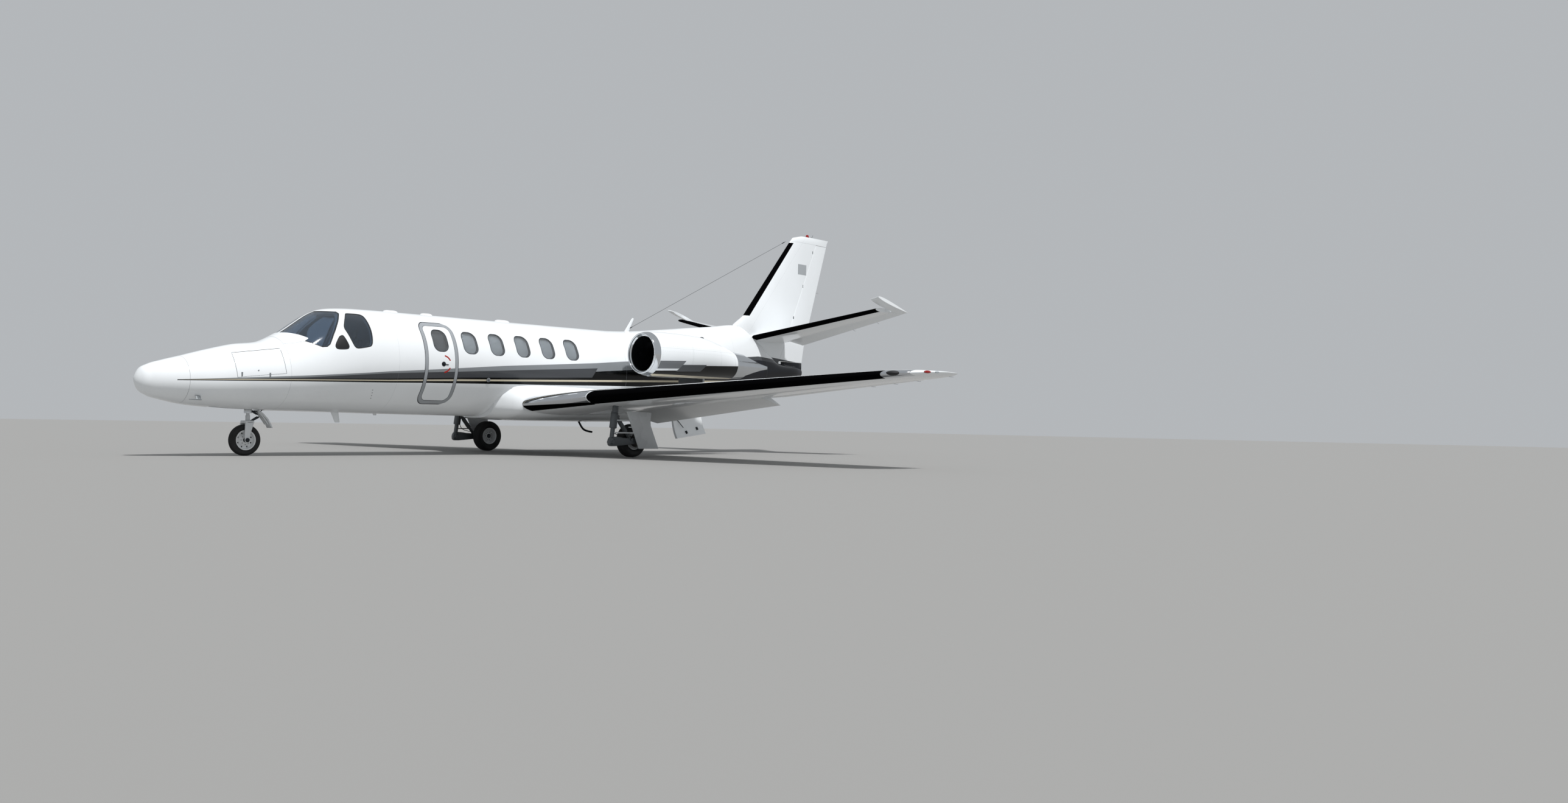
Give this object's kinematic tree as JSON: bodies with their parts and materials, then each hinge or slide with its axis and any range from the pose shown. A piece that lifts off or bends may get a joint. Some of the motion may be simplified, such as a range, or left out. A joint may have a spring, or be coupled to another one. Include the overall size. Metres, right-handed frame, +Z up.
{
  "type": "straight-wing light business jet",
  "caption": "Light business jet with straight low wings, two rear fuselage turbofans and a cruciform tail, parked on its gear with a hinged cabin door, bays and control surfaces.",
  "frame": {"origin": "on the ground under the middle of the airframe, midway between nose and tail, on the plane of symmetry", "axes": "+Z up, +Y from nose to tail, +X out along the port wing"},
  "size_m": [15.9, 14.39, 4.56],
  "materials": {
    "white_paint": "gloss",
    "white_skin": "gloss",
    "white_moulding": "gloss",
    "polished_metal": "polished",
    "engine_metal": "satin",
    "fan_metal": "satin",
    "gear_steel": "satin",
    "tyre_rubber": "matte",
    "window_glass": "polished",
    "seat_leather": "satin",
    "panel_plastic": "matte",
    "cabin_carpet": "matte"
  },
  "bodies": {
    "airframe": {"radome": "white_moulding", "nose_section": "white_paint", "cabin_shell": "white_paint", "tail_section": "white_skin", "wing_fairing": "white_skin", "windscreen_left": "window_glass", "windscreen_right": "window_glass", "vent_window_left": "window_glass", "vent_window_right": "window_glass", "side_window_left": "window_glass", "side_window_right": "window_glass", "cabin_windows_left": "window_glass", "cabin_windows_right": "window_glass", "cabin_floor": "cabin_carpet", "instrument_panel": "panel_plastic", "pilot_seat": "seat_leather", "copilot_seat": "seat_leather", "cabin_seat_front_left": "seat_leather", "cabin_seat_front_right": "seat_leather", "cabin_seat_rear_left": "seat_leather", "cabin_seat_rear_right": "seat_leather", "wing_left": "white_skin", "wing_right": "white_skin", "fin": "white_skin", "stabiliser_left": "white_skin", "stabiliser_right": "white_skin", "nacelle_left": "white_skin", "nacelle_right": "white_skin", "engine_left": "engine_metal", "engine_right": "engine_metal", "reverser_left": "polished_metal", "reverser_right": "polished_metal", "nose_gear_leg": "gear_steel", "nose_gear_door": "white_skin", "main_gear_leg_left": "gear_steel", "main_gear_leg_right": "gear_steel", "main_gear_door_left": "white_skin", "main_gear_door_right": "white_skin"},
    "cabin_door": {"cabin_door": "white_paint", "door_window": "window_glass"},
    "nose_door_left": {"nose_baggage_door_left": "white_paint"},
    "nose_door_right": {"nose_baggage_door_right": "white_paint"},
    "aft_door": {"aft_baggage_door": "white_skin"},
    "flap_left": {"flap_left": "white_skin"},
    "flap_right": {"flap_right": "white_skin"},
    "aileron_left": {"aileron_left": "white_skin"},
    "aileron_right": {"aileron_right": "white_skin"},
    "rudder": {"rudder": "white_skin"},
    "elevator_left": {"elevator_left": "white_skin"},
    "elevator_right": {"elevator_right": "white_skin"},
    "fan_left": {"fan_left": "fan_metal"},
    "fan_right": {"fan_right": "fan_metal"},
    "nose_steer": {"nose_fork": "gear_steel"},
    "nose_wheel": {"nose_wheel": "polished_metal", "nose_tyre": "tyre_rubber"},
    "main_wheel_left": {"main_wheel_left": "polished_metal", "main_tyre_left": "tyre_rubber"},
    "main_wheel_right": {"main_wheel_right": "polished_metal", "main_tyre_right": "tyre_rubber"}
  },
  "joints": [
    {"name": "cabin_door_swing", "type": "hinge", "parent": "airframe", "child": "cabin_door", "pos_m": [0.806, -3.265, 1.43], "axis": [0, 0, -1], "range_deg": [0, 105]},
    {"name": "nose_door_left_lift", "type": "hinge", "parent": "airframe", "child": "nose_door_left", "pos_m": [0.318, -6.045, 1.452], "axis": [-0.2177, -0.9658, -0.141], "range_deg": [0, 85]},
    {"name": "nose_door_right_lift", "type": "hinge", "parent": "airframe", "child": "nose_door_right", "pos_m": [-0.318, -6.045, 1.452], "axis": [-0.2177, 0.9658, 0.141], "range_deg": [0, 85]},
    {"name": "aft_door_close", "type": "hinge", "parent": "airframe", "child": "aft_door", "pos_m": [0.512, 2.175, 0.896], "axis": [0.0833, -0.9898, -0.1159], "range_deg": [0, 158]},
    {"name": "flap_left_move", "type": "hinge", "parent": "airframe", "child": "flap_left", "pos_m": [0.965, 0.64508, 0.72726], "axis": [-0.9953, 0.0529, -0.0808], "range_deg": [-15, 25]},
    {"name": "flap_right_move", "type": "hinge", "parent": "airframe", "child": "flap_right", "pos_m": [-0.965, 0.64508, 0.72726], "axis": [-0.9953, -0.0529, 0.0808], "range_deg": [-15, 25]},
    {"name": "aileron_left_move", "type": "hinge", "parent": "airframe", "child": "aileron_left", "pos_m": [4.36, 0.50127, 1.04936], "axis": [0.9941, -0.0838, 0.0688], "range_deg": [-19, 19]},
    {"name": "aileron_right_move", "type": "hinge", "parent": "airframe", "child": "aileron_right", "pos_m": [-4.36, 0.50127, 1.04936], "axis": [0.9941, 0.0838, -0.0688], "range_deg": [-19, 19]},
    {"name": "rudder_move", "type": "hinge", "parent": "airframe", "child": "rudder", "pos_m": [0, 5.635, 1.888], "axis": [0, 0.4101, 0.912], "range_deg": [-22, 22]},
    {"name": "elevator_left_move", "type": "hinge", "parent": "airframe", "child": "elevator_left", "pos_m": [0.25, 5.69619, 2.34365], "axis": [0.9795, 0.0775, 0.1859], "range_deg": [0, 35]},
    {"name": "elevator_right_move", "type": "hinge", "parent": "airframe", "child": "elevator_right", "pos_m": [-0.25, 5.69619, 2.34365], "axis": [0.9795, -0.0775, -0.1859], "range_deg": [0, 35]},
    {"name": "fan_left_spin", "type": "hinge", "parent": "airframe", "child": "fan_left", "pos_m": [1.3, 1.275, 1.755], "axis": [0, 1, 0], "continuous": true},
    {"name": "fan_right_spin", "type": "hinge", "parent": "airframe", "child": "fan_right", "pos_m": [-1.3, 1.275, 1.755], "axis": [0, 1, 0], "continuous": true},
    {"name": "nose_steering", "type": "hinge", "parent": "airframe", "child": "nose_steer", "pos_m": [0, -5.63, 0.55], "axis": [0, 0, 1], "range_deg": [-20, 20]},
    {"name": "nose_wheel_spin", "type": "hinge", "parent": "nose_steer", "child": "nose_wheel", "pos_m": [0, -5.67, 0.222], "axis": [1, 0, 0], "continuous": true},
    {"name": "main_wheel_left_spin", "type": "hinge", "parent": "airframe", "child": "main_wheel_left", "pos_m": [1.98, -0.125, 0.272], "axis": [1, 0, 0], "continuous": true},
    {"name": "main_wheel_right_spin", "type": "hinge", "parent": "airframe", "child": "main_wheel_right", "pos_m": [-1.98, -0.125, 0.272], "axis": [1, 0, 0], "continuous": true}
  ],
  "couplings": [
    {"joint": "flap_right_move", "follows": "flap_left_move", "ratio": 1},
    {"joint": "aileron_right_move", "follows": "aileron_left_move", "ratio": -1},
    {"joint": "elevator_right_move", "follows": "elevator_left_move", "ratio": 1}
  ]
}
